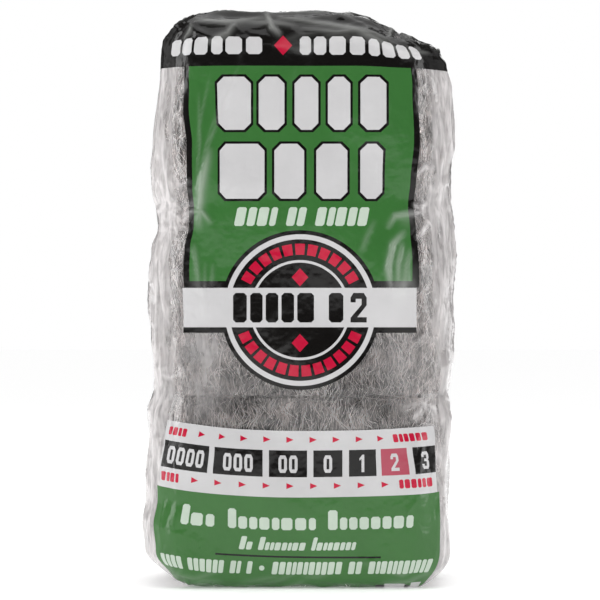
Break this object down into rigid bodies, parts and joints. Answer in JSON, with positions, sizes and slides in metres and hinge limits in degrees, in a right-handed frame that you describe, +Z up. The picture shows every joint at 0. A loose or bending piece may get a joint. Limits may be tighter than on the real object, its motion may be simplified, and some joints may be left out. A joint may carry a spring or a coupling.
{
  "type": "steel wool pack",
  "caption": "Upright block of folded steel wool pads in tiers and layers, sealed in a printed bag of thin clear film, with a grade scale on the front.",
  "frame": {"origin": "middle of the bottom end of the pack, on the surface it stands on", "axes": "+Z up along the height of the pack, the printed front faces -Y, +X to the right as seen from the front"},
  "size_m": [0.124, 0.092, 0.2297],
  "materials": {
    "film": "glossy clear film, 0.08 mm, printed in green, black, white and red",
    "wool": "fine bright steel wool, laid one way and folded"
  },
  "bodies": {
    "root": {"film_bag": "film", "wool_pad_bottom_1": "wool", "wool_pad_bottom_2": "wool", "wool_pad_bottom_3": "wool", "wool_pad_bottom_4": "wool", "wool_pad_middle_1": "wool", "wool_pad_middle_2": "wool", "wool_pad_middle_3": "wool", "wool_pad_middle_4": "wool", "wool_pad_top_1": "wool", "wool_pad_top_2": "wool", "wool_pad_top_3": "wool", "wool_pad_top_4": "wool"}
  },
  "joints": []
}
